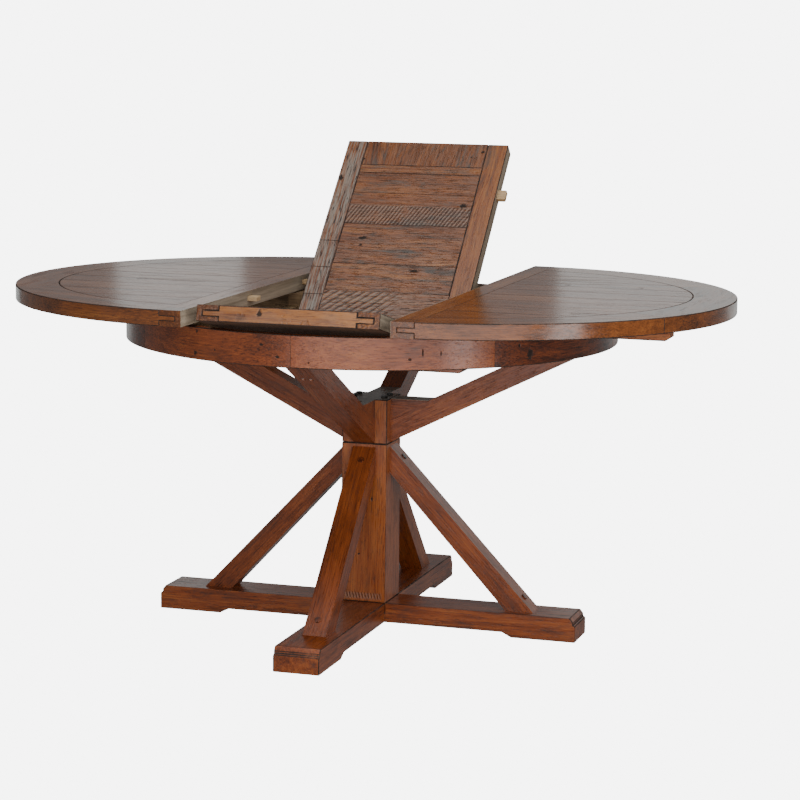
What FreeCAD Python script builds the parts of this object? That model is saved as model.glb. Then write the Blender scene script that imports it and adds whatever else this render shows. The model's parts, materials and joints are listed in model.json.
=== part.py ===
import FreeCAD, Part

import math
import os

os.makedirs("parts", exist_ok=True)

V = FreeCAD.Vector
X_AXIS = V(1, 0, 0)
Y_AXIS = V(0, 1, 0)
Z_AXIS = V(0, 0, 1)

# Table height and the two half tops
TOP_Z = 787.0
TOP_THICK = 35.0
UNDER_Z = TOP_Z - TOP_THICK
TOP_R = 605.0
FIELD_R = 505.0
HALF_SHIFT = 231.0
STILE_W = 50.0
SHRINK_GAP = 0.4
TENON_LEN = 37.0

# Butterfly leaf: the rear half carries the pivot, the front half is hinged to it
LEAF_HALF_W = 203.0
LEAF_LEN = 605.0
LEAF_STILE_W = 50.0
HINGE_RAIL = 138.0
BOARD_EDGES = (138.0, 221.0, 343.0, 441.0, 504.0, 530.0)
PIVOT_Y = 150.0
PIVOT_Z = 733.0
PIN_R = 6.0
PIN_CLEAR = 0.05
LEAF_TILT = 45.5
FRONT_RISE = 13.06
FOLD_ABOVE = 0.4
END_CLEAR = 0.3
KNUCKLE_R = 3.0
HINGE_PIN_R = 1.5

# Apron ring
RING_R = 565.0
RING_T = 25.0
RING_Z0 = 672.0
RING_Z1 = 742.5

# Foot beams, column and struts
FOOT_REACH_X = 506.0
FOOT_REACH_Y = 520.0
FOOT_W = 106.0
FOOT_H = 56.0
FOOT_PAD = 150.0
FOOT_RELIEF = 11.0
COL_W = 108.0
COL_JOINT_Z = 430.0
COL_TOP_Z = 533.0
STRUT_W = 55.0
UPPER_STRUT_W = 51.0
CLEAT_Y = (374.0, 434.0)
CLEAT_LONG = 346.0
CLEAT_SHORT = 270.0
CLEAT_T = 11.0

# Slides under the half tops
RUNNER_Y = 240.0
RUNNER_W = 36.0
RUNNER_Z0 = 728.0
RUNNER_END = 748.0
BEARER_X = 228.0
BEARER_W = 24.0
BEARER_Z1 = 716.0


def save(name, *shapes):
    """Write one node; several shapes become one compound of separate solids."""
    solids = []
    for shape in shapes:
        solids.extend(shape.Solids)
    out = solids[0] if len(solids) == 1 else Part.makeCompound(solids)
    out.exportStep("parts/" + name + ".step")


def box(x0, x1, y0, y1, z0, z1):
    """Axis-aligned block between the given planes."""
    return Part.makeBox(x1 - x0, y1 - y0, z1 - z0, V(x0, y0, z0))


def rod(r, length, base, axis):
    """Round bar starting at base."""
    return Part.makeCylinder(r, length, V(*base), axis)


def prism(points, direction):
    """Extrude a closed polygon of 3-D points along a vector."""
    corners = [V(*p) for p in points]
    wire = Part.makePolygon(corners + [corners[0]])
    return Part.Face(wire).extrude(direction)


def plan_sector(r0, r1, a0, a1, z0, z1):
    """Ring segment about the origin between two angles in degrees."""
    def at(r, a):
        t = math.radians(a)
        return V(r * math.cos(t), r * math.sin(t), z0)
    mid = (a0 + a1) / 2.0
    outer = Part.Arc(at(r1, a0), at(r1, mid), at(r1, a1)).toShape()
    inner = Part.Arc(at(r0, a1), at(r0, mid), at(r0, a0)).toShape()
    side_a = Part.makeLine(at(r0, a0), at(r1, a0))
    side_b = Part.makeLine(at(r1, a1), at(r0, a1))
    wire = Part.Wire([side_a, outer, side_b, inner])
    return Part.Face(wire).extrude(V(0, 0, z1 - z0))


def hex_head(across_flats, height, base):
    """Six-sided bolt head standing on base."""
    r = across_flats / math.sqrt(3.0)
    corners = []
    for i in range(6):
        t = math.radians(60.0 * i)
        corners.append((base.x + r * math.cos(t), base.y + r * math.sin(t), base.z))
    return prism(corners, V(0, 0, height))


def turned(shape, quarter):
    """Copy turned about the table's upright axis by quarter turns."""
    out = shape.copy()
    out.rotate(V(0, 0, 0), Z_AXIS, 90.0 * quarter)
    return out


def mirrored_x(shape):
    """Mirror image across the plane x = 0."""
    return shape.mirror(V(0, 0, 0), X_AXIS)


# ---------------------------------------------------------------- pedestal

def foot_profile(reach):
    """Side outline of a foot beam: end pads, raised underside, stepped ends."""
    inner = reach - FOOT_PAD
    half = [
        (0.0, FOOT_RELIEF),
        (inner - 22.0, FOOT_RELIEF),
        (inner, 0.0),
        (reach, 0.0),
        (reach, 38.0),
        (reach - 5.0, 41.0),
        (reach - 5.0, 47.0),
        (reach - 12.0, FOOT_H),
        (0.0, FOOT_H),
    ]
    left = [(-x, z) for x, z in reversed(half[1:-1])]
    return half + left


def foot_beam(reach, lap_above):
    """Beam along X; the crossing is half-lapped at mid height."""
    outline = [(x, -FOOT_W / 2, z) for x, z in foot_profile(reach)]
    beam = prism(outline, V(0, FOOT_W, 0))
    mid = (FOOT_H + FOOT_RELIEF) / 2.0
    w = FOOT_W / 2
    if lap_above:
        notch = box(-w, w, -w, w, mid, FOOT_H + 1)
    else:
        notch = box(-w, w, -w, w, FOOT_RELIEF - 1, mid)
    return beam.cut(notch)


def make_feet():
    save("foot_beam_long", foot_beam(FOOT_REACH_X, True))
    save("foot_beam_cross", turned(foot_beam(FOOT_REACH_Y, False), 1))


def make_column():
    w = COL_W / 2
    save("lower_column", box(-w, w, -w, w, FOOT_H, COL_JOINT_Z))
    save("upper_column", box(-w, w, -w, w, COL_JOINT_Z, COL_TOP_Z))
    bolts = []
    for x in (-37.0, 37.0):
        for y in (-20.0, 20.0):
            bolts.append(hex_head(13.0, 5.3, V(x, y, COL_TOP_Z)))
    save("column_bolts", *bolts)


SIDES = ("right", "back", "left", "front")


def strut(points, width):
    """Strut on the +X side from its side outline of (radius, height) pairs."""
    outline = [(r, -width / 2, z) for r, z in points]
    return prism(outline, V(0, width, 0))


def lower_strut():
    """Brace from foot to column, with its two plugs."""
    face = COL_W / 2
    points = [(face, 422.0), (401.0, FOOT_H), (335.0, FOOT_H), (face, 360.0)]
    block = strut(points, STRUT_W)
    slope = math.degrees(math.atan2(366.0, 347.0))
    plugs = []
    for r, z in ((78.0, 394.0), (372.0, 84.5)):
        plug = rod(7.0, 4.0, (0, 0, 0), X_AXIS)
        plug.rotate(V(0, 0, 0), Y_AXIS, -(90.0 - slope))
        plug.translate(V(r, 0, z))
        block = block.cut(plug)
        plugs.append(plug)
    return block, plugs


def upper_strut():
    """Brace from column to ring, bored from below for the ring screws."""
    face = COL_W / 2
    points = [
        (face, 488.0),
        (422.0, RING_Z0),
        (535.0, RING_Z0),
        (face, 431.5),
    ]
    block = strut(points, UPPER_STRUT_W)
    screws = []
    for y in (-9.0, 9.0):
        block = block.cut(rod(6.0, 30.0, (458.0, y, 615.0), Z_AXIS))
        screws.append(rod(4.5, 10.0, (458.0, y, 635.0), Z_AXIS))
    return block, screws


def wedge():
    """Filling block between an upper strut and the column, screwed from above."""
    face = COL_W / 2
    tip = face + (COL_TOP_Z - 488.0) * 2.0
    points = [(face, 488.0), (tip, COL_TOP_Z), (face, COL_TOP_Z)]
    block = strut(points, UPPER_STRUT_W)
    block = block.cut(rod(6.0, 14.0, (92.0, 0, COL_TOP_Z - 12.0), Z_AXIS))
    return block, rod(4.5, 10.0, (92.0, 0, COL_TOP_Z - 12.0), Z_AXIS)


def make_struts():
    lower, lower_plugs = lower_strut()
    upper, upper_screws = upper_strut()
    block, block_screw = wedge()
    plugs = []
    screws = []
    wedges = []
    for i, side in enumerate(SIDES):
        save("lower_strut_" + side, turned(lower, i))
        save("upper_strut_" + side, turned(upper, i))
        wedges.append(turned(block, i))
        plugs.extend(turned(p, i) for p in lower_plugs)
        screws.extend(turned(s, i) for s in upper_screws + [block_screw])
    save("column_wedges", *wedges)
    save("strut_plugs", *plugs)
    save("strut_screws", *screws)


# ---------------------------------------------------------------- apron

def runner_notches():
    """Cut-outs in the ring's upper edge that let the slides through."""
    cuts = []
    half = RUNNER_W / 2 + 1.5
    for sy in (-1, 1):
        y = sy * RUNNER_Y
        cuts.append(box(-600, 600, y - half, y + half, RUNNER_Z0 - 2.0, RING_Z1 + 1))
    return cuts


def make_ring():
    inner = RING_R - RING_T
    cuts = runner_notches()
    for i in range(8):
        seg = plan_sector(inner, RING_R, 45.0 * i, 45.0 * i + 45.0, RING_Z0, RING_Z1)
        for cut in cuts:
            seg = seg.cut(cut)
        save("apron_segment_%d" % (i + 1), seg)


def make_cleats():
    """Flat bars under the ring, longer towards one side and stopped against the struts."""
    y0, y1 = CLEAT_Y
    under = RING_Z0 - CLEAT_T
    outline = [
        (-CLEAT_LONG, y0, RING_Z0),
        (-CLEAT_LONG + 14.0, y0, under),
        (CLEAT_SHORT - 14.0, y0, under),
        (CLEAT_SHORT, y0, RING_Z0),
    ]
    bar = prism(outline, V(0, y1 - y0, 0))
    half = UPPER_STRUT_W / 2
    bar = bar.cut(box(-half, half, 0, 600, 600, RING_Z0 + 1))
    save("apron_cleats", bar, turned(bar, 2))


def ring_inside():
    """The round space inside the ring, for trimming what butts against it."""
    return Part.makeCylinder(RING_R - RING_T, 200.0, V(0, 0, 600.0))


def make_bearers():
    """Two rails inside the ring, beside the leaf well, and the pivot blocks on them."""
    reach = box(BEARER_X, BEARER_X + BEARER_W, -495.0, 495.0, RING_Z0, BEARER_Z1)
    bearer = reach.common(ring_inside())
    save("leaf_bearer_right", bearer)
    save("leaf_bearer_left", mirrored_x(bearer))
    y0 = PIVOT_Y - 24.0
    y1 = PIVOT_Y + 24.0
    block = box(205.5, BEARER_X, y0, y1, 690.0, BEARER_Z1)
    head = box(205.5, BEARER_X + BEARER_W, y0, y1, BEARER_Z1, 749.0)
    block = block.fuse(head).removeSplitter()
    hole = rod(PIN_R + PIN_CLEAR, 60.0, (200.0, PIVOT_Y, PIVOT_Z), X_AXIS)
    block = block.cut(hole)
    save("pivot_blocks", block, mirrored_x(block))
    screws = []
    for sx in (-1, 1):
        x = sx * (BEARER_X + BEARER_W / 2)
        for y in (-452.0, -424.0, 424.0, 452.0):
            screws.append(rod(4.5, 2.0, (x, y, BEARER_Z1), Z_AXIS))
    save("bearer_screws", *screws)


def make_guides():
    """Pairs of strips between bearer and ring that steer the four slides."""
    strips = []
    near = RUNNER_W / 2 + 1.0
    far = near + 14.0
    x0 = BEARER_X + BEARER_W
    trim = ring_inside()
    for sy in (-1, 1):
        for y0, y1 in ((near, far), (-far, -near)):
            y = sy * RUNNER_Y
            strip = box(x0, 545.0, y + y0, y + y1, 700.0, 746.0).common(trim)
            strips.append(strip)
            strips.append(mirrored_x(strip))
    save("runner_guides", *strips)


# ---------------------------------------------------------------- half tops

def disc(r, z0, z1):
    """Full disc about the right half's own centre, before it is shifted."""
    return Part.makeCylinder(r, z1 - z0, V(0, 0, z0))


def chord_y(r, x):
    """Half length of the chord of radius r at distance x from the centre."""
    return math.sqrt(r * r - x * x)


def half_rim():
    """Curved border: three segments joined end to end, tenoned at the stile."""
    ring = disc(TOP_R, UNDER_Z, TOP_Z).cut(disc(FIELD_R, UNDER_Z - 1, TOP_Z + 1))
    ring = ring.common(box(STILE_W, 700, -700, 700, UNDER_Z, TOP_Z))
    wedge_pts = [(0.0, 0.0), (900.0, -900.0 * 0.62), (900.0, 900.0 * 0.62)]
    wedge = prism([(x, y, UNDER_Z) for x, y in wedge_pts], V(0, 0, TOP_THICK))
    side = ring.common(wedge)
    rest = ring.cut(wedge)
    front = rest.common(box(-10, 700, -700, 0, UNDER_Z, TOP_Z))
    back = rest.common(box(-10, 700, 0, 700, UNDER_Z, TOP_Z))
    third = TOP_THICK / 3.0
    y1 = chord_y(TOP_R, STILE_W) - 64.0
    x0 = STILE_W - TENON_LEN
    tenon = box(x0, STILE_W, y1, 700.0, UNDER_Z + third, UNDER_Z + 2 * third)
    tenon = tenon.common(disc(TOP_R, UNDER_Z, TOP_Z))
    back = back.fuse(tenon).removeSplitter()
    front = front.fuse(tenon.mirror(V(0, 0, 0), Y_AXIS)).removeSplitter()
    return front, side, back, tenon


def tongue_slots(ys, depth):
    """Mortises in a straight edge at x = 0 for loose tongues."""
    slots = []
    for y in ys:
        slots.append(box(-1.0, depth, y - 14.6, y + 14.6, 763.5, 776.5))
    return slots


RIGHT_SLOT_Y = (-190.0, 458.0)
LEFT_TONGUE_Y = (-190.0, 182.0, 451.0)


def half_stile(tenon, slots):
    """Straight edge board with its two open mortises and the tongue slots."""
    stile = disc(TOP_R, UNDER_Z, TOP_Z).common(box(0.0, STILE_W, -700, 700, UNDER_Z, TOP_Z))
    stile = stile.cut(tenon)
    stile = stile.cut(tenon.mirror(V(0, 0, 0), Y_AXIS))
    for slot in slots:
        stile = stile.cut(slot)
    return stile


def half_boards():
    """Field boards along X, cut to the round border."""
    field = disc(FIELD_R, UNDER_Z, TOP_Z).common(
        box(STILE_W, 700, -700, 700, UNDER_Z, TOP_Z))
    edges = (-505.0, -372.0, -262.0, -142.0, -38.0, 74.0, 178.0, 290.0, 392.0, 505.0)
    boards = []
    for y0, y1 in zip(edges[:-1], edges[1:]):
        lane = box(0, 700, y0 + SHRINK_GAP / 2, y1 - SHRINK_GAP / 2, UNDER_Z, TOP_Z)
        boards.append(field.common(lane))
    return boards


def runner(sy):
    """Wooden slide fixed under the half, running out through the ring."""
    y = sy * RUNNER_Y
    w = RUNNER_W / 2
    x0 = 14.0
    x1 = RUNNER_END - HALF_SHIFT
    outline = [
        (x0, y - w, UNDER_Z),
        (x0, y - w, RUNNER_Z0 + 3.0),
        (x0 + 6.0, y - w, RUNNER_Z0),
        (x1 - 12.0, y - w, RUNNER_Z0),
        (x1, y - w, RUNNER_Z0 + 8.0),
        (x1, y - w, UNDER_Z),
    ]
    return prism(outline, V(0, 2 * w, 0))


def make_half(side):
    """One half top with border, edge board, field boards and its two slides."""
    front, edge, back, tenon = half_rim()
    right = side == "right"
    slots = tongue_slots(RIGHT_SLOT_Y if right else LEFT_TONGUE_Y, 28.0)
    pieces = {
        "rim_front": [front],
        "rim_side": [edge],
        "rim_back": [back],
        "stile": [half_stile(tenon, slots)],
        "field_boards": half_boards(),
        "runners": [runner(-1), runner(1)],
    }
    if not right:
        loose = []
        for y in LEFT_TONGUE_Y:
            loose.append(box(-22.0, 24.0, y - 14.0, y + 14.0, 764.5, 775.5))
        pieces["tongues"] = loose
    for name, shapes in pieces.items():
        moved = []
        for shape in shapes:
            placed = shape.copy()
            placed.translate(V(HALF_SHIFT, 0, 0))
            moved.append(placed if right else mirrored_x(placed))
        save(side + "_" + name, *moved)


# ---------------------------------------------------------------- butterfly leaf
# Each leaf half is drawn flat: u runs along +Y from the fold line at y = 0,
# show face up at z = TOP_Z.  It is then turned into its open pose.

def leaf_parts():
    """Pieces common to both leaf halves, drawn flat for y > 0."""
    w = LEAF_HALF_W
    s = LEAF_STILE_W
    z0 = UNDER_Z
    z1 = TOP_Z
    third = TOP_THICK / 3.0
    inner = w - s
    rail_end = BOARD_EDGES[-1]
    tip = inner + TENON_LEN
    tenon = box(inner, tip, LEAF_LEN - 64.0, LEAF_LEN, z0 + third, z0 + 2 * third)
    end_rail = box(-inner, inner, rail_end, LEAF_LEN, z0, z1)
    end_rail = end_rail.fuse([tenon, mirrored_x(tenon)]).removeSplitter()
    hinge_rail = box(-inner, inner, END_CLEAR, HINGE_RAIL, z0, z1)
    boards = []
    edges = BOARD_EDGES
    for a, b in zip(edges[:-1], edges[1:]):
        g = SHRINK_GAP / 2
        boards.append(box(-inner, inner, a + g, b - g, z0, z1))
    stile_right = box(inner, w, END_CLEAR, LEAF_LEN, z0, z1).cut(tenon)
    stile_left = mirrored_x(stile_right)
    return {
        "stile_right": [stile_right],
        "stile_left": [stile_left],
        "end_rail": [end_rail],
        "boards": boards,
        "hinge_rail": [hinge_rail],
    }


HINGE_X = (-110.0, 110.0)


def hinge_pocket(x):
    """Recess in the show face for one hinge flap and its knuckles."""
    flap = box(x - 22.0, x + 22.0, END_CLEAR, 34.0, TOP_Z - 1.6, TOP_Z + 1)
    trough = rod(KNUCKLE_R + 0.6, 44.0, (x - 22.0, 0, TOP_Z + FOLD_ABOVE), X_AXIS)
    return flap.fuse(trough)


def hinge_flap(x, knuckle_spans, bore_r):
    """Flap let into the rear leaf half, with its share of the knuckles."""
    flap = box(x - 21.5, x + 21.5, 0.0, 33.5, TOP_Z - 1.6, TOP_Z)
    axis_z = TOP_Z + FOLD_ABOVE
    barrel = rod(KNUCKLE_R + 0.3, 50.0, (x - 25.0, 0, axis_z), X_AXIS)
    flap = flap.cut(barrel)
    out = flap
    for a, b in knuckle_spans:
        knuckle = rod(KNUCKLE_R, b - a, (x + a, 0, axis_z), X_AXIS)
        web = box(x + a, x + b, 0.0, 6.0, TOP_Z - 1.6, TOP_Z)
        out = out.fuse([knuckle, web])
    bore = rod(bore_r, 60.0, (x - 30.0, 0, axis_z), X_AXIS)
    return out.removeSplitter().cut(bore)


REAR_SPANS = ((-21.5, -9.1), (9.1, 21.5))
FRONT_SPANS = ((-8.9, 8.9),)


def rear_pose(shape):
    """Turn a flat rear-half piece about the pivot into the open pose."""
    out = shape.copy()
    out.rotate(V(0, PIVOT_Y, PIVOT_Z), X_AXIS, LEAF_TILT)
    return out


def front_pose(shape):
    """Turn a flat front-half piece about the fold, then hang it on the rear half."""
    out = shape.copy()
    fold = V(0, 0, TOP_Z + FOLD_ABOVE)
    out.rotate(fold, X_AXIS, -FRONT_RISE - LEAF_TILT)
    out.rotate(V(0, PIVOT_Y, PIVOT_Z), X_AXIS, LEAF_TILT)
    return out


REAR_TONGUE_U = (458.0,)
REAR_SLOT_U = (451.0, 182.0)
FRONT_TONGUE_U = (190.0,)
FRONT_SLOT_U = (190.0,)


def finish_leaf(parts, tongue_u, slot_u):
    """Add loose tongues at the right edge, slots at the left, hinge pockets."""
    edge = LEAF_HALF_W
    loose = []
    for u in tongue_u:
        loose.append(box(edge - 24.0, edge + 21.0, u - 14.0, u + 14.0, 764.5, 775.5))
    for tongue in loose:
        parts["stile_right"][0] = parts["stile_right"][0].cut(tongue)
    for u in slot_u:
        slot = box(-edge - 1, -edge + 24.0, u - 14.6, u + 14.6, 763.5, 776.5)
        parts["stile_left"][0] = parts["stile_left"][0].cut(slot)
    parts["tongues"] = loose
    for x in HINGE_X:
        parts["hinge_rail"][0] = parts["hinge_rail"][0].cut(hinge_pocket(x))
    return parts


def make_rear_leaf():
    parts = finish_leaf(leaf_parts(), REAR_TONGUE_U, REAR_SLOT_U)
    for name, shapes in parts.items():
        save("rear_leaf_" + name, *[rear_pose(s) for s in shapes])
    flaps = [rear_pose(hinge_flap(x, REAR_SPANS, HINGE_PIN_R)) for x in HINGE_X]
    save("fold_hinge_rear_flaps", *flaps)
    pins = []
    for x in HINGE_X:
        pin = rod(HINGE_PIN_R, 43.0, (x - 21.5, 0, TOP_Z + FOLD_ABOVE), X_AXIS)
        pins.append(rear_pose(pin))
    save("fold_hinge_pins", *pins)


def make_front_leaf():
    parts = finish_leaf(leaf_parts(), FRONT_TONGUE_U, FRONT_SLOT_U)
    for name, shapes in parts.items():
        flipped = [s.mirror(V(0, 0, 0), Y_AXIS) for s in shapes]
        save("front_leaf_" + name, *[front_pose(s) for s in flipped])
    flaps = []
    for x in HINGE_X:
        flap = hinge_flap(x, FRONT_SPANS, HINGE_PIN_R + PIN_CLEAR).mirror(V(0, 0, 0), Y_AXIS)
        flaps.append(front_pose(flap))
    save("fold_hinge_front_flaps", *flaps)


def make_pivots():
    """Metal ears under the rear leaf half and the pins they turn on."""
    ears = []
    pins = []
    for sx in (-1, 1):
        plate = box(150.0, 190.0, PIVOT_Y - 30, PIVOT_Y + 30, UNDER_Z - 3.0, UNDER_Z)
        ear = box(190.0, 200.0, PIVOT_Y - 14, PIVOT_Y + 14, PIVOT_Z - 12.0, UNDER_Z)
        ear = ear.fuse(plate).removeSplitter()
        ear = ear.cut(rod(PIN_R, 40.0, (180.0, PIVOT_Y, PIVOT_Z), X_AXIS))
        pin = rod(PIN_R, 38.0, (190.0, PIVOT_Y, PIVOT_Z), X_AXIS)
        if sx < 0:
            ear = mirrored_x(ear)
            pin = mirrored_x(pin)
        ears.append(rear_pose(ear))
        pins.append(rear_pose(pin))
    save("pivot_ears", *ears)
    save("pivot_pins", *pins)


make_feet()
make_column()
make_struts()
make_ring()
make_cleats()
make_bearers()
make_guides()
make_half("right")
make_half("left")
make_rear_leaf()
make_front_leaf()
make_pivots()
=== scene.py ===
import json
import math

import bpy
from mathutils import Matrix, Vector


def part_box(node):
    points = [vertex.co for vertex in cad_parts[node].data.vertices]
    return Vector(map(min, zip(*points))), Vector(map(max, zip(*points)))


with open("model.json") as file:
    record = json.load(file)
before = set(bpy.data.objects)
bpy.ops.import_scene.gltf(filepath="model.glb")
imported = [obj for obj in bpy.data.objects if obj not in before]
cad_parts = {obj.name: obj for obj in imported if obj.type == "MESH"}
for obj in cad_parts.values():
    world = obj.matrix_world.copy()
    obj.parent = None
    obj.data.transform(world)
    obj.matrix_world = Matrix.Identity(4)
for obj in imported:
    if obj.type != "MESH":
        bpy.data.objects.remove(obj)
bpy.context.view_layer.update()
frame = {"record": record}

# ---------------------------------------------------------------- known sizes (metres)
X = Vector((1, 0, 0))
Y = Vector((0, 1, 0))
Z = Vector((0, 0, 1))
HALF_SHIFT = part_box("right_stile")[0].x
COLUMN_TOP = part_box("upper_column")[1].z
JOINTS = {j["name"]: j for j in frame["record"]["behaviour"]["joints"]}
FOLD = Vector(JOINTS["leaf_fold"]["pos_m"])
FOLD_RATIO = frame["record"]["behaviour"]["couplings"][0]["ratio"]
TILT = math.radians(-JOINTS["leaf_pivot"]["range_deg"][0])
RISE = (-FOLD_RATIO - 1.0) * TILT
# where the unstained faces of the leaf and the ring begin, and how deep a face counts as one
LEAF_SIDE = 0.2022
RING_INSIDE = 0.5415
SKIN = 0.0008


# ---------------------------------------------------------------- node helpers

class Nodes:
    """Short calls for building one material's node tree."""

    def __init__(self, name):
        self.mat = bpy.data.materials.new(name)
        self.mat.use_nodes = True
        self.tree = self.mat.node_tree
        self.tree.nodes.clear()

    def add(self, kind, **settings):
        node = self.tree.nodes.new("ShaderNode" + kind)
        for key, value in settings.items():
            setattr(node, key, value)
        return node

    def link(self, source, target):
        self.tree.links.new(source, target)

    def feed(self, socket, value):
        """Link a socket, or set a constant."""
        if isinstance(value, bpy.types.NodeSocket):
            self.link(value, socket)
        else:
            socket.default_value = value

    def math(self, op, a, b=0.0):
        node = self.add("Math", operation=op)
        for socket, value in zip(node.inputs, (a, b)):
            self.feed(socket, value)
        return node.outputs[0]

    def vector(self, op, a, b=(0, 0, 0)):
        node = self.add("VectorMath", operation=op)
        for socket, value in zip(node.inputs, (a, b)):
            self.feed(socket, value)
        return node.outputs["Value" if op in ("LENGTH", "DOT_PRODUCT") else "Vector"]

    def split(self, vec):
        node = self.add("SeparateXYZ")
        self.link(vec, node.inputs[0])
        return node.outputs

    def join(self, x, y, z):
        node = self.add("CombineXYZ")
        for socket, value in zip(node.inputs, (x, y, z)):
            self.feed(socket, value)
        return node.outputs[0]

    def noise(self, vec, scale=1.0, detail=2.0, rough=0.5, distortion=0.0):
        node = self.add("TexNoise")
        self.link(vec, node.inputs["Vector"])
        node.inputs["Scale"].default_value = scale
        node.inputs["Detail"].default_value = detail
        node.inputs["Roughness"].default_value = rough
        node.inputs["Distortion"].default_value = distortion
        return node.outputs["Fac"]

    def stretched(self, vec, scale, detail=3.0, rough=0.5, distortion=0.0):
        """Noise with its own scale along each axis."""
        return self.noise(self.vector("MULTIPLY", vec, scale), 1.0, detail, rough, distortion)

    def smooth(self, value, low, high, out_low=0.0, out_high=1.0):
        node = self.add("MapRange", interpolation_type="SMOOTHSTEP")
        self.feed(node.inputs["Value"], value)
        node.inputs["From Min"].default_value = low
        node.inputs["From Max"].default_value = high
        node.inputs["To Min"].default_value = out_low
        node.inputs["To Max"].default_value = out_high
        return node.outputs["Result"]

    def band(self, value, low, high, soft):
        """1 between low and high, fading over soft on either side."""
        rise = self.smooth(value, low - soft, low + soft)
        fall = self.smooth(value, high - soft, high + soft, 1.0, 0.0)
        return self.math("MULTIPLY", rise, fall)

    def spot(self, vec, ragged, x, y, rx, ry, z=0.0, rz=None):
        """1 inside an ellipse with a ragged rim; without rz it runs through the board."""
        away = self.vector("SUBTRACT", vec, (x, y, z))
        away = self.vector("MULTIPLY", away, (1.0 / rx, 1.0 / ry, 1.0 / rz if rz else 0.0))
        radius = self.math("ADD", self.vector("LENGTH", away), self.math("MULTIPLY", ragged, 1.8))
        return self.smooth(radius, 1.4, 2.1, 1.0, 0.0)

    def ramp(self, value, stops):
        node = self.add("ValToRGB")
        self.link(value, node.inputs[0])
        elements = node.color_ramp.elements
        while len(elements) < len(stops):
            elements.new(0.5)
        for element, (place, colour) in zip(elements, stops):
            element.position = place
            element.color = (*colour, 1.0)
        return node.outputs["Color"]

    def mix(self, fac, a, b):
        """Colour a, turning into b as fac goes from 0 to 1."""
        node = self.add("Mix", data_type="RGBA")
        self.feed(node.inputs["Factor"], fac)
        colour_in = [s for s in node.inputs if s.type == "RGBA"]
        for socket, value in zip(colour_in, (a, b)):
            self.feed(socket, (*value, 1.0) if isinstance(value, tuple) else value)
        return [s for s in node.outputs if s.type == "RGBA"][0]

    def finish(self, colour, roughness, height, bump_mm, metallic=0.0):
        """Shader, bump and output; returns the material."""
        shader = self.add("BsdfPrincipled")
        self.feed(shader.inputs["Base Color"], colour)
        self.feed(shader.inputs["Roughness"], roughness)
        shader.inputs["Metallic"].default_value = metallic
        bump = self.add("Bump")
        bump.inputs["Distance"].default_value = bump_mm / 1000.0
        self.link(height, bump.inputs["Height"])
        self.link(bump.outputs["Normal"], shader.inputs["Normal"])
        out = self.add("OutputMaterial")
        self.link(shader.outputs[0], out.inputs["Surface"])
        return self.mat


def wood_space(nodes, place, origin, along, face):
    """Coordinates with X along the grain, Y across the board and Z out of its face."""
    along = along.normalized()
    across = face.cross(along).normalized()
    turn = Matrix((along, across, along.cross(across)))
    mapping = nodes.add("Mapping", vector_type="POINT")
    mapping.inputs["Location"].default_value = -(turn @ origin)
    mapping.inputs["Rotation"].default_value = turn.to_euler("XYZ")
    nodes.link(place, mapping.inputs["Vector"])
    return mapping.outputs["Vector"]


# ---------------------------------------------------------------- wood

# darkest, dark, middle and light tones of each stain, all linear
STAIN = {
    "base": ((0.014, 0.006, 0.004), (0.090, 0.021, 0.007), (0.245, 0.057, 0.014), (0.390, 0.120, 0.030)),
    "top": ((0.014, 0.007, 0.004), (0.080, 0.023, 0.006), (0.205, 0.060, 0.013), (0.340, 0.128, 0.029)),
    "bare": ((0.050, 0.032, 0.018), (0.170, 0.100, 0.048), (0.260, 0.165, 0.082), (0.340, 0.235, 0.125)),
    "raw": ((0.200, 0.120, 0.055), (0.420, 0.270, 0.135), (0.560, 0.390, 0.215), (0.650, 0.480, 0.290)),
}
STAIN_STOPS = (0.0, 0.22, 0.52, 0.88)
SMOKE = (0.022, 0.016, 0.014)
ASH = (0.046, 0.042, 0.037)
# painted shade: dark brown laid on the undersides of the top boards
PAINTED_UNDERSIDE_SHADE = (0.070, 0.038, 0.020)
BEIGE = (0.420, 0.340, 0.250)
DULL = (0.200, 0.150, 0.098)
GREY = (0.262, 0.238, 0.204)
MARK = (0.012, 0.008, 0.006)
FULL_STREAKS = 0.85
NO_ENDS = 9.0


def leaf_sides(n, place):
    """The unstained long edges of the leaf."""
    return n.math("GREATER_THAN", n.math("ABSOLUTE", n.split(place)[0]), LEAF_SIDE)


def inner_edges(n, place):
    """The unstained edges of the half tops that face each other."""
    return n.math("LESS_THAN", n.math("ABSOLUTE", n.split(place)[0]), HALF_SHIFT + SKIN)


def column_top(n, place):
    """The unstained top of the column and its wedges."""
    return n.math("GREATER_THAN", n.split(place)[2], COLUMN_TOP - SKIN)


def ring_inside(n, place):
    """The unstained inside of the apron ring."""
    radius = n.vector("LENGTH", n.vector("MULTIPLY", place, (1.0, 1.0, 0.0)))
    return n.math("LESS_THAN", radius, RING_INSIDE)


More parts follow.
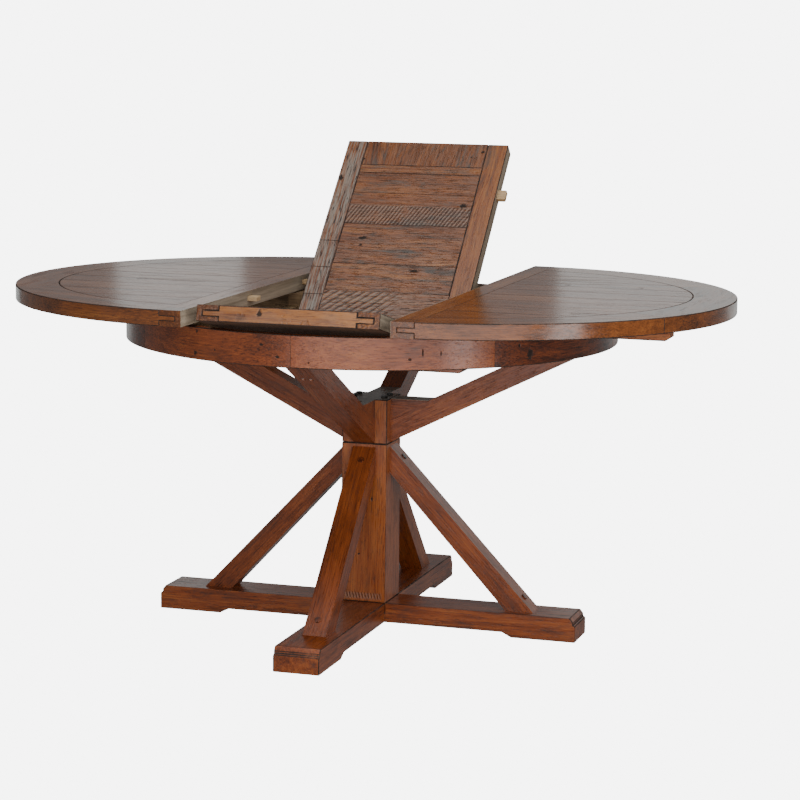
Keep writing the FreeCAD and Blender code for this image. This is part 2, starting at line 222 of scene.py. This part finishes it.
def grain(n, flat, axes, seed, edges, patch):
    """Noise fields of the wood; boards that meet at the edges each get their own."""
    index = n.math("ADD", 0.0, seed)
    for edge in edges:
        index = n.math("ADD", index, n.math("GREATER_THAN", axes[1], edge))
    lot = n.add("TexWhiteNoise", noise_dimensions="1D")
    n.link(index, lot.inputs["W"])
    away = n.vector("MULTIPLY", lot.outputs["Color"], (9.0, 3.0, 3.0))
    wander = n.stretched(flat, (2.2, 7.0, 7.0), 1.0)
    bend = n.join(0.0, n.math("MULTIPLY", wander, 0.06), 0.0)
    p = n.vector("ADD", n.vector("ADD", flat, away), bend)
    long, wide = patch
    return {
        "chance": n.split(lot.outputs["Color"])[1],
        "fibre": n.stretched(p, (12.0, 480.0, 480.0), 4.0, 0.6),
        "streak": n.stretched(p, (2.4, 95.0, 95.0), 4.0, 0.6),
        "blotch": n.stretched(p, (long, wide, wide), 3.0, 0.6, 0.5),
        "dash": n.smooth(n.stretched(p, (40.0, 420.0, 420.0)), 0.56, 0.66),
        "cloud": n.stretched(p, (long * 1.7, wide * 2.2, wide * 2.2), 6.0, 0.7, 0.7),
    }


def stained(n, fields, stain, shift, streaky, smoke, smoke_tint):
    """Colour, height and soot of the stained wood before any marks."""
    weights = {"streak": streaky, "fibre": 0.85, "blotch": 0.65, "chance": 0.20}
    tone = 0.5 * (FULL_STREAKS - streaky) - 0.80 + shift
    for field, weight in weights.items():
        tone = n.math("ADD", n.math("MULTIPLY", fields[field], weight), tone)
    darkest, dark, _, _ = STAIN[stain]
    colour = n.ramp(tone, tuple(zip(STAIN_STOPS, STAIN[stain])))
    colour = n.mix(n.math("MULTIPLY", fields["dash"], 0.42), colour, darkest)
    between = n.smooth(fields["streak"], 0.70, 0.30, 0.35, 1.0)
    soot = n.math("MULTIPLY", n.smooth(fields["cloud"], 0.50, 0.66), between)
    tint = smoke_tint if stain in ("base", "top") else dark
    colour = n.mix(n.math("MULTIPLY", soot, smoke), colour, tint)
    height = n.math("MULTIPLY", fields["fibre"], 0.30)
    height = n.math("SUBTRACT", height, n.math("MULTIPLY", fields["dash"], 0.25))
    height = n.math("ADD", height, n.math("MULTIPLY", fields["streak"], 0.10))
    return colour, height, soot


def sawn(n, flat, axes, colour, height, x0, x1, y0, y1, angle, pitch, soft):
    """Rows of saw cuts with pale raised edges, slanting across part of a board."""
    mask = n.math("MULTIPLY", n.band(axes[0], x0, x1, soft), n.band(axes[1], y0, y1, 0.003))
    across = n.vector("DOT_PRODUCT", flat, (math.cos(angle), -math.sin(angle), 0.0))
    bend = n.stretched(flat, (14.0, 9.0, 9.0), 1.0)
    phase = n.math("ADD", across, n.math("MULTIPLY", bend, pitch * 0.8))
    wave = n.math("SINE", n.math("MULTIPLY", phase, 2.0 * math.pi / pitch))
    patchy = n.smooth(n.stretched(flat, (30.0, 22.0, 10.0)), 0.24, 0.44)
    worked = n.math("MULTIPLY", patchy, mask)
    deep = n.math("MULTIPLY", n.smooth(wave, 0.30, 0.95), worked)
    crest = n.math("MULTIPLY", n.smooth(wave, -0.45, -0.95), worked)
    colour = n.mix(n.math("MULTIPLY", crest, 0.50), colour, GREY)
    colour = n.mix(n.math("MULTIPLY", deep, 0.80), colour, MARK)
    return colour, n.math("SUBTRACT", height, n.math("MULTIPLY", deep, 1.4))


def weathered(n, flat, colour, height, amount):
    """Grey rubbed streaks along the grain with fine dark checks."""
    streak = n.stretched(flat, (9.0, 190.0, 40.0), 4.0, 0.65)
    patch = n.stretched(flat, (9.0, 24.0, 10.0))
    pale = n.math("MULTIPLY", n.smooth(streak, 0.38, 0.58), n.smooth(patch, 0.26, 0.46))
    colour = n.mix(n.math("MULTIPLY", pale, amount * 0.8), colour, GREY)
    check = n.smooth(n.stretched(flat, (30.0, 300.0, 40.0), 4.0, 0.6), 0.55, 0.63)
    colour = n.mix(n.math("MULTIPLY", check, min(1.0, amount * 2.0)), colour, SMOKE)
    height = n.math("SUBTRACT", height, n.math("MULTIPLY", check, 0.9))
    return colour, height


def pitted(n, flat, axes, fibre, colour, height, spots, lines):
    """Knots, holes and cracks as spots, open joints as lines; returns where they are too."""
    pit = 0.0
    ragged = n.noise(flat, 170.0, 3.0) if spots else None
    for spot in spots:
        hole = n.spot(flat, ragged, *spot)
        colour = n.mix(n.math("MULTIPLY", hole, 0.93), colour, MARK)
        height = n.math("SUBTRACT", height, hole)
        pit = n.math("MAXIMUM", hole, pit)
    for place, axis, reach in lines:
        near = n.math("ABSOLUTE", n.math("SUBTRACT", axes[axis], place))
        wobble = n.math("ADD", near, n.math("MULTIPLY", fibre, 0.0006))
        line = n.smooth(wobble, reach * 0.5, reach, 1.0, 0.0)
        colour = n.mix(n.math("MULTIPLY", line, 0.85), colour, MARK)
        height = n.math("SUBTRACT", height, line)
        pit = n.math("MAXIMUM", line, pit)
    return colour, height, pit


def wood(name, origin, along, face, stain="base", seed=0.0, edges=(), saw=(), spots=(), lines=(),
         smoke=0.25, smoke_tint=SMOKE, worn=0.0, shift=0.0, gloss=0.22, bump=0.5,
         bare_where=None, bare_tint=BEIGE, bare_rough=0.8, end_at=NO_ENDS,
         patch=(5.0, 15.0), streaky=FULL_STREAKS):
    """Procedural board: grain, stain, smoke, saw cuts, wear, knots, end grain, bare faces and painted
    shade on the backs of top boards.
    """
    n = Nodes(name)
    place = n.add("TexCoord").outputs["Object"]
    flat = wood_space(n, place, origin, along, face)
    axes = n.split(flat)
    fields = grain(n, flat, axes, seed, edges, patch)
    colour, height, soot = stained(n, fields, stain, shift, streaky, smoke, smoke_tint)
    for mark in saw:
        colour, height = sawn(n, flat, axes, colour, height, *mark)
    if worn:
        colour, height = weathered(n, flat, colour, height, worn)
    colour, height, pit = pitted(n, flat, axes, fields["fibre"], colour, height, spots, lines)

    ends = n.math("GREATER_THAN", n.math("ABSOLUTE", axes[0]), end_at)
    ends = n.math("MULTIPLY", ends, n.smooth(n.noise(flat, 160.0, 3.0), 0.35, 0.60, 0.35, 0.95))
    colour = n.mix(ends, colour, STAIN[stain][1])
    height = n.math("SUBTRACT", height, ends)

    rough = n.math("ADD", n.math("MULTIPLY", fields["fibre"], 0.14), gloss)
    rough = n.math("ADD", rough, n.math("MULTIPLY", soot, 0.12))
    rough = n.math("MAXIMUM", rough, n.math("MULTIPLY", pit, 0.9))
    # the backs of top boards get a painted shade colour and a matt finish
    if stain == "top":
        side = n.vector("DOT_PRODUCT", n.add("TexCoord").outputs["Normal"], face.normalized())
        back = n.smooth(side, -0.3, -0.5)
        colour = n.mix(n.math("MULTIPLY", back, 0.8), colour, PAINTED_UNDERSIDE_SHADE)
        rough = n.math("MAXIMUM", rough, n.math("MULTIPLY", back, 0.85))
    if bare_where:
        open_grain = bare_where(n, place)
        rubbed = n.mix(n.smooth(fields["streak"], 0.30, 0.75), DULL, bare_tint)
        colour = n.mix(open_grain, colour, rubbed)
        rough = n.math("MAXIMUM", rough, n.math("MULTIPLY", open_grain, bare_rough))
    return n.finish(colour, rough, height, bump)


def dark_edge(name):
    """Burnished arris: nearly black stain, rubbed through to brown here and there."""
    n = Nodes(name)
    rub = n.noise(n.add("TexCoord").outputs["Object"], 34.0, 4.0, 0.65)
    black, umber, brown = (0.012, 0.007, 0.005), (0.045, 0.018, 0.009), (0.150, 0.060, 0.025)
    colour = n.ramp(rub, ((0.35, black), (0.56, umber), (0.72, brown)))
    return n.finish(colour, n.smooth(rub, 0.3, 0.8, 0.85, 0.50), rub, 0.3)


def metal(name, dark, light, roughness):
    """Aged metal with mottled tarnish."""
    n = Nodes(name)
    mottle = n.noise(n.add("TexCoord").outputs["Object"], 240.0, 4.0, 0.6)
    colour = n.ramp(mottle, ((0.30, dark), (0.70, light)))
    rough = n.smooth(mottle, 0.3, 0.7, roughness, roughness + 0.2)
    return n.finish(colour, rough, mottle, 0.05, metallic=1.0)


# ---------------------------------------------------------------- dressing the CAD nodes

EDGE = dark_edge("dark_edge")
EDGE_MM = 2.0
BOARD_EDGE_MM = 1.6
CRISP_EDGE_MM = 0.8
SHARPEST_TURN = math.radians(28)
SAME_POINT = 0.00002


def dress(node, material, bevel_mm=EDGE_MM, edge=EDGE):
    """Give a CAD node its material, and rub its edges over with a small bevel."""
    obj = bpy.data.objects[node]
    obj.data.materials.clear()
    obj.data.materials.append(material)
    if not bevel_mm:
        return
    obj.data.materials.append(edge)
    weld = obj.modifiers.new("weld", "WELD")
    weld.merge_threshold = SAME_POINT
    bevel = obj.modifiers.new("bevel", "BEVEL")
    bevel.width = bevel_mm / 1000.0
    bevel.segments = 2
    bevel.limit_method = "ANGLE"
    bevel.angle_limit = SHARPEST_TURN
    bevel.material = 1
    bevel.use_clamp_overlap = True
    normals = obj.modifiers.new("normals", "WEIGHTED_NORMAL")
    normals.keep_sharp = False


# ---------------------------------------------------------------- base

# Marks are in each board's own coordinates, 0 along the grain and 1 across it.
# spots: place along, place across, the two radii, and for a ball its height and third radius
# lines: place, the coordinate it is measured on, half width
# saw: from and to along the grain, from and to across, slant, pitch, fade
APRON_SPOTS = {
    6: ((-0.020, 0.687, 0.0050, 0.0060), (-0.015, 0.734, 0.0025, 0.0060),
        (0.153, 0.718, 0.0040, 0.0030), (0.189, 0.694, 0.0050, 0.0030),
        (0.037, 0.698, 0.0020, 0.0030)),
    7: ((0.059, 0.711, 0.0018, 0.0100), (0.098, 0.707, 0.0016, 0.0070),
        (0.032, 0.695, 0.0040, 0.0030), (-0.179, 0.685, 0.0020, 0.0020)),
    8: ((-0.129, 0.696, 0.0075, 0.0130), (-0.158, 0.716, 0.0030, 0.0050),
        (0.076, 0.719, 0.0030, 0.0030)),
}
# segments 5 and 8, at the left and right ends of the ring away from the front lights, are darkened as
# painted shade; segment 6 is a little darker
APRON_SHADE_AND_TONE = {5: -0.15, 6: -0.06, 8: -0.18}
COLUMN_DENTS = ((-0.030, 0.010, 0.0030, 0.0030), (0.100, -0.020, 0.0060, 0.0025),
                (0.035, 0.022, 0.0030, 0.0020))
COLUMN_SAW = ((-0.136, -0.122, -0.045, 0.045, 1.3, 0.007, 0.003),)
COLUMN_MIDDLE = Vector((0, 0, 0.2))
NAIL_HOLE = (0.279, 0.443, 0.0020, 0.0020)
CORE = Vector((0, 0, 0))
SIDES = {"right": X, "back": Y, "left": -X, "front": -Y}
STRUT_LOOK = {"streaky": 0.50, "shift": 0.04, "smoke": 0.4}
# slopes of the struts: outwards, and down or up
LOWER_RUN, LOWER_DROP = 347.0, 366.0
UPPER_RUN, UPPER_RISE = 2.0, 1.0
SEGMENTS = 8


def dress_column():
    long_foot = wood("foot_long_wood", CORE, X, Z, seed=1, smoke=0.6)
    cross_foot = wood("foot_cross_wood", CORE, Y, Z, seed=2, smoke=0.6)
    lower = wood("lower_column_wood", COLUMN_MIDDLE, Z, -Y, seed=3, shift=0.16, streaky=0.45,
                 smoke=0.5, spots=COLUMN_DENTS, saw=COLUMN_SAW)
    upper = wood("upper_column_wood", CORE, Z, -Y, seed=4, shift=0.14, streaky=0.45,
                 bare_where=column_top, bare_tint=GREY, bare_rough=0.3)
    wedge = wood("wedge_wood", CORE, X, -Y, seed=23,
                 bare_where=column_top, bare_tint=GREY, bare_rough=0.3)
    dress("foot_beam_long", long_foot)
    dress("foot_beam_cross", cross_foot)
    dress("lower_column", lower)
    dress("upper_column", upper)
    dress("column_wedges", wedge)


def dress_struts():
    for number, (side, out) in enumerate(SIDES.items()):
        along = (out * LOWER_RUN - Z * LOWER_DROP).normalized()
        face = (out * LOWER_DROP + Z * LOWER_RUN).normalized()
        lower = wood("lower_strut_wood_" + side, CORE, along, face, seed=5 + number * 1.7, **STRUT_LOOK)
        dress("lower_strut_" + side, lower)
        along = (out * UPPER_RUN + Z * UPPER_RISE).normalized()
        face = (Z * UPPER_RUN - out * UPPER_RISE).normalized()
        upper = wood("upper_strut_wood_" + side, CORE, along, face, seed=14 + number * 1.3,
                     spots=(NAIL_HOLE,) if side == "right" else (), **STRUT_LOOK)
        dress("upper_strut_" + side, upper)
    plug = wood("plug_wood", CORE, Z, X, seed=66, shift=-0.22)
    dress("strut_plugs", plug, CRISP_EDGE_MM)


def dress_apron():
    for number in range(1, SEGMENTS + 1):
        angle = math.radians(360.0 / SEGMENTS * (number - 0.5))
        out = Vector((math.cos(angle), math.sin(angle), 0))
        segment = wood("apron_wood_%d" % number, CORE, Z.cross(out), out, seed=31 + (number - 1) * 1.9,
                       shift=APRON_SHADE_AND_TONE.get(number, 0.0), streaky=0.55, smoke=0.4,
                       spots=APRON_SPOTS.get(number, ()), bare_where=ring_inside)
        dress("apron_segment_%d" % number, segment)
    dress("apron_cleats", wood("cleat_wood", CORE, X, Z, seed=52))


def dress_hidden_frame():
    bearer = wood("bearer_wood", CORE, Y, Z, stain="bare", seed=60, gloss=0.6)
    guide = wood("guide_wood", CORE, X, Z, stain="bare", seed=63, gloss=0.6)
    for node in ("leaf_bearer_right", "leaf_bearer_left"):
        dress(node, bearer, CRISP_EDGE_MM, bearer)
    for node in ("runner_guides", "pivot_blocks"):
        dress(node, guide, CRISP_EDGE_MM, guide)
    steel = metal("dark_steel", (0.045, 0.043, 0.042), (0.150, 0.145, 0.140), 0.35)
    for node in ("strut_screws", "bearer_screws", "column_bolts", "pivot_ears", "pivot_pins"):
        dress(node, steel, 0.0)


# ---------------------------------------------------------------- half tops

TOP_LOOK = {"stain": "top", "gloss": 0.11, "bump": 0.2}
TOP_CRACKS = {
    "right": ((0.375, -0.318, 0.080, 0.0030), (0.330, -0.160, 0.060, 0.0016),
              (0.180, 0.209, 0.008, 0.005), (0.350, 0.213, 0.010, 0.005)),
    "left": ((-0.243, -0.056, 0.140, 0.0028), (-0.120, 0.120, 0.040, 0.0022),
             (-0.300, 0.020, 0.060, 0.0018)),
}
# the right half's side rim, away from the front lights, is darkened as painted shade; the left half's
# front rim is made darker
RIM_SHADE_AND_TONE = {("left", "front"): -0.16, ("right", "side"): -0.22}
RIM_LEAN = {"front": -70.0, "side": 0.0, "back": 70.0}
HALF_EDGES = [y / 1000.0 for y in (-372, -262, -142, -38, 74, 178, 290, 392)]
STILE_END = 0.552


def dress_half(side, sign, seed):
    """Field boards, edge board, curved border and slides of one half top."""
    middle = Vector((sign * HALF_SHIFT, 0, 0))
    field = wood(side + "_field_wood", middle, X, Z, seed=seed, edges=HALF_EDGES, smoke=0.35,
                 spots=TOP_CRACKS[side], lines=[(edge, 1, 0.0011) for edge in HALF_EDGES], **TOP_LOOK)
    stile = wood(side + "_stile_wood", middle, Y, Z, seed=seed + 11, bare_where=inner_edges,
                 end_at=STILE_END, **TOP_LOOK)
    slide = wood(side + "_slide_wood", middle, X, Z, seed=seed + 18, gloss=0.5, shift=0.25)
    dress(side + "_field_boards", field, BOARD_EDGE_MM)
    dress(side + "_stile", stile)
    dress(side + "_runners", slide)
    for number, (part, lean) in enumerate(RIM_LEAN.items()):
        angle = math.radians(lean)
        out = Vector((sign * math.cos(angle), math.sin(angle), 0))
        rim = wood(side + "_rim_wood_" + part, middle, Z.cross(out), Z, seed=seed + 13 + number * 1.6,
                   streaky=0.6, shift=RIM_SHADE_AND_TONE.get((side, part), 0.0), bare_where=inner_edges,
                   **TOP_LOOK)
        dress(side + "_rim_" + part, rim)


# ---------------------------------------------------------------- butterfly leaf

LEAF_EDGES = (0.138, 0.221, 0.343, 0.441, 0.504)
LEAF_END = 0.6038
LEAF_BOARD_EDGE_MM = 1.5
TONGUE_EDGE_MM = 2.5
REAR_MARKS = {
    "boards": {
        "saw": ((-0.16, 0.16, 0.343, 0.402, 0.42, 0.0088, 0.01),),
        "spots": ((-0.097, 0.278, 0.005, 0.004), (-0.097, 0.300, 0.012, 0.005),
                  (0.052, 0.205, 0.013, 0.005), (0.130, 0.408, 0.010, 0.008)),
        "lines": [(joint, 1, 0.0013) for joint in LEAF_EDGES],
    },
    "hinge_rail": {"saw": ((-0.17, 0.02, 0.0, 0.138, 0.80, 0.0150, 0.04),)},
    "end_rail": {
        "smoke": 0.95,
        "shift": 0.05,
        "spots": ((0.548, 0.150, 0.003, 0.003), (0.580, -0.145, 0.004, 0.005),
                  (0.562, -0.118, 0.003, 0.003)),
    },
    "stile_left": {
        "worn": 0.95,
        "spots": ((0.485, 0.195, 0.010, 0.007),),
        "lines": ((0.288, 0, 0.0016), (0.207, 0, 0.0016), (0.125, 0, 0.0016)),
    },
}
FRONT_MARKS = {
    "end_rail": {
        "smoke": 0.40,
        "shift": 0.18,
        "spots": ((0.062, 0.605, 0.0060, 0.020, -0.014, 0.0090),),
    },
    "stile_left": {"worn": 0.2},
}


def dress_leaf(prefix, outwards, face, seed, rail_grain, marks):
    """One leaf half; outwards runs from the fold to the outer end, face is the show side."""
    across = outwards.cross(face)

    def board(part, name, grain_axis, **look):
        """Wood for one part, with its own marks added to its look."""
        look.update(marks.get(part, {}))
        return wood(prefix + name, FOLD, grain_axis, face, stain="top", **look)

    boards = board("boards", "_boards_wood", across, seed=seed, edges=LEAF_EDGES, smoke=0.95,
                   smoke_tint=ASH, shift=0.07, worn=0.16)
    hinge_rail = board("hinge_rail", "_hinge_rail_wood", across, seed=seed + 7, smoke=0.7,
                       smoke_tint=ASH, worn=0.35)
    end_rail = board("end_rail", "_end_rail_wood", rail_grain, seed=seed + 9, smoke_tint=ASH,
                     worn=0.15, patch=(6.0, 22.0))
    stile_right = board("stile_right", "_stile_wood_right", outwards, seed=seed + 11, shift=0.03,
                        smoke=0.7, smoke_tint=ASH, bare_where=leaf_sides, end_at=LEAF_END)
    stile_left = board("stile_left", "_stile_wood_left", outwards, seed=seed + 12.4,
                       bare_where=leaf_sides, end_at=LEAF_END)
    dress(prefix + "_boards", boards, LEAF_BOARD_EDGE_MM)
    dress(prefix + "_hinge_rail", hinge_rail)
    dress(prefix + "_end_rail", end_rail)
    dress(prefix + "_stile_right", stile_right)
    dress(prefix + "_stile_left", stile_left)


def dress_leaves():
    """Both leaf halves in the pose they are held in, their tongues and their hinges."""
    rear_out = Vector((0, math.cos(TILT), math.sin(TILT)))
    rear_face = Vector((0, -math.sin(TILT), math.cos(TILT)))
    front_out = Vector((0, -math.cos(RISE), math.sin(RISE)))
    front_face = Vector((0, math.sin(RISE), math.cos(RISE)))
    dress_leaf("rear_leaf", rear_out, rear_face, 110, rear_out, REAR_MARKS)
    dress_leaf("front_leaf", front_out, front_face, 130, front_out.cross(front_face), FRONT_MARKS)
    raw = wood("tongue_wood", CORE, X, Z, stain="raw", seed=150, gloss=0.6, smoke=0.2)
    for node in ("rear_leaf_tongues", "front_leaf_tongues", "left_tongues"):
        dress(node, raw, TONGUE_EDGE_MM, raw)
    brass = metal("hinge_brass", (0.16, 0.10, 0.04), (0.42, 0.29, 0.12), 0.30)
    for node in ("fold_hinge_rear_flaps", "fold_hinge_front_flaps", "fold_hinge_pins"):
        dress(node, brass, 0.0)


# ---------------------------------------------------------------- studio

FLOOR_REACH = 2500.0
FLOOR_SEEN = 6.5
FLOOR_GLOW = 0.25
WORLD_GLOW = 0.10
WHITE = (1.0, 1.0, 1.0)
COOL = (0.92, 1.0, 0.99)
TABLE_MIDDLE = (0.0, 0.0, 0.7)
FRONT_DISTANCE = 2.6
FRONT_HEIGHT = 1.0
FRONT_TALL = 2.0
# name, azimuth in degrees, width, radiance; all stand upright in front of the table
FRONT_PANELS = (
    ("front_left", -126.0, 1.9, 0.2),
    ("front_middle", -76.0, 2.8, 2.6),
    ("front_right", -36.0, 0.55, 7.0),
)
# name, place, target, size, radiance, colour
OTHER_PANELS = (
    ("ceiling", (0.3, -1.0, 3.6), TABLE_MIDDLE, (3.4, 2.6), 2.6, WHITE),
    ("back_left", (-1.69, 3.0, 1.4), (-1.69, 0.0, 1.4), (0.49, 2.2), 0.50, COOL),
    ("back_right", (0.90, 3.0, 1.4), (0.90, 0.0, 1.4), (2.37, 2.2), 0.50, COOL),
    ("back_low", (-2.6, 3.0, 0.25), (-0.5, 0.0, 0.6), (2.0, 0.5), 0.8, COOL),
    ("back_wall", (0.0, 4.2, 1.6), (0.0, 0.0, 1.6), (9.0, 3.2), 0.15, WHITE),
)
LENS_AT = (1.79398, -5.62604, 1.44168)
LENS_AZIMUTH, LENS_PITCH, LENS_ROLL = (math.radians(a) for a in (17.0524, 8.8393, 0.6794))
LENS_MM = 116.115
FILM_MM = 36.0


def floor():
    """Seamless white floor: bright to the lens, softer as a light on the table."""
    r = FLOOR_REACH
    mesh = bpy.data.meshes.new("floor")
    mesh.from_pydata([(-r, -r, 0), (r, -r, 0), (r, r, 0), (-r, r, 0)], [], [(0, 1, 2, 3)])
    obj = bpy.data.objects.new("floor", mesh)
    bpy.context.scene.collection.objects.link(obj)
    n = Nodes("floor_paint")
    emit = n.add("Emission")
    seen = n.add("LightPath").outputs["Is Camera Ray"]
    n.feed(emit.inputs["Strength"], n.smooth(seen, 0.0, 1.0, FLOOR_GLOW, FLOOR_SEEN))
    out = n.add("OutputMaterial")
    n.link(emit.outputs[0], out.inputs["Surface"])
    mesh.materials.append(n.mat)


def surroundings():
    """Faint even light from all round, as bright to the lens as the floor."""
    world = bpy.data.worlds.new("studio")
    bpy.context.scene.world = world
    world.use_nodes = True
    tree = world.node_tree
    sky = tree.nodes["Background"]
    sky.inputs["Color"].default_value = (*WHITE, 1.0)
    strength = tree.nodes.new("ShaderNodeMapRange")
    strength.inputs["To Min"].default_value = WORLD_GLOW
    strength.inputs["To Max"].default_value = FLOOR_SEEN
    seen = tree.nodes.new("ShaderNodeLightPath").outputs["Is Camera Ray"]
    tree.links.new(seen, strength.inputs["Value"])
    tree.links.new(strength.outputs["Result"], sky.inputs["Strength"])


def panel(name, place, target, size, radiance, colour):
    """Soft rectangular light, given by its brightness; the lens does not see it."""
    data = bpy.data.lights.new(name, "AREA")
    data.shape = "RECTANGLE"
    data.size, data.size_y = size
    data.energy = radiance * math.pi * size[0] * size[1]
    data.color = colour
    obj = bpy.data.objects.new(name, data)
    bpy.context.scene.collection.objects.link(obj)
    obj.location = place
    obj.rotation_mode = "QUATERNION"
    obj.rotation_quaternion = (Vector(target) - Vector(place)).to_track_quat("-Z", "Y")
    obj.visible_camera = False


def lights():
    """Upright panels in front, a ceiling, and dim panels behind that the top reflects."""
    surroundings()
    for name, azimuth, width, radiance in FRONT_PANELS:
        a = math.radians(azimuth)
        place = (FRONT_DISTANCE * math.cos(a), FRONT_DISTANCE * math.sin(a), FRONT_HEIGHT)
        panel(name, place, TABLE_MIDDLE, (width, FRONT_TALL), radiance, WHITE)
    for settings in OTHER_PANELS:
        panel(*settings)


def camera():
    """Viewpoint worked out from the table's own outline."""
    level = math.cos(LENS_PITCH)
    across, away = math.cos(LENS_AZIMUTH), math.sin(LENS_AZIMUTH)
    ahead = Vector((-away * level, across * level, -math.sin(LENS_PITCH)))
    flat_right = Vector((across, away, 0.0))
    flat_up = flat_right.cross(ahead)
    right = math.cos(LENS_ROLL) * flat_right + math.sin(LENS_ROLL) * flat_up
    up = math.cos(LENS_ROLL) * flat_up - math.sin(LENS_ROLL) * flat_right
    data = bpy.data.cameras.new("camera")
    data.sensor_width = FILM_MM
    data.lens = LENS_MM
    data.clip_start = 0.1
    data.clip_end = 2.0 * FLOOR_REACH
    obj = bpy.data.objects.new("camera", data)
    bpy.context.scene.collection.objects.link(obj)
    turn = Matrix((right, up, -ahead)).transposed()
    obj.matrix_world = Matrix.Translation(LENS_AT) @ turn.to_4x4()
    bpy.context.scene.camera = obj


dress_column()
dress_struts()
dress_apron()
dress_hidden_frame()
dress_half("right", 1.0, 70)
dress_half("left", -1.0, 90)
dress_leaves()
floor()
lights()
camera()
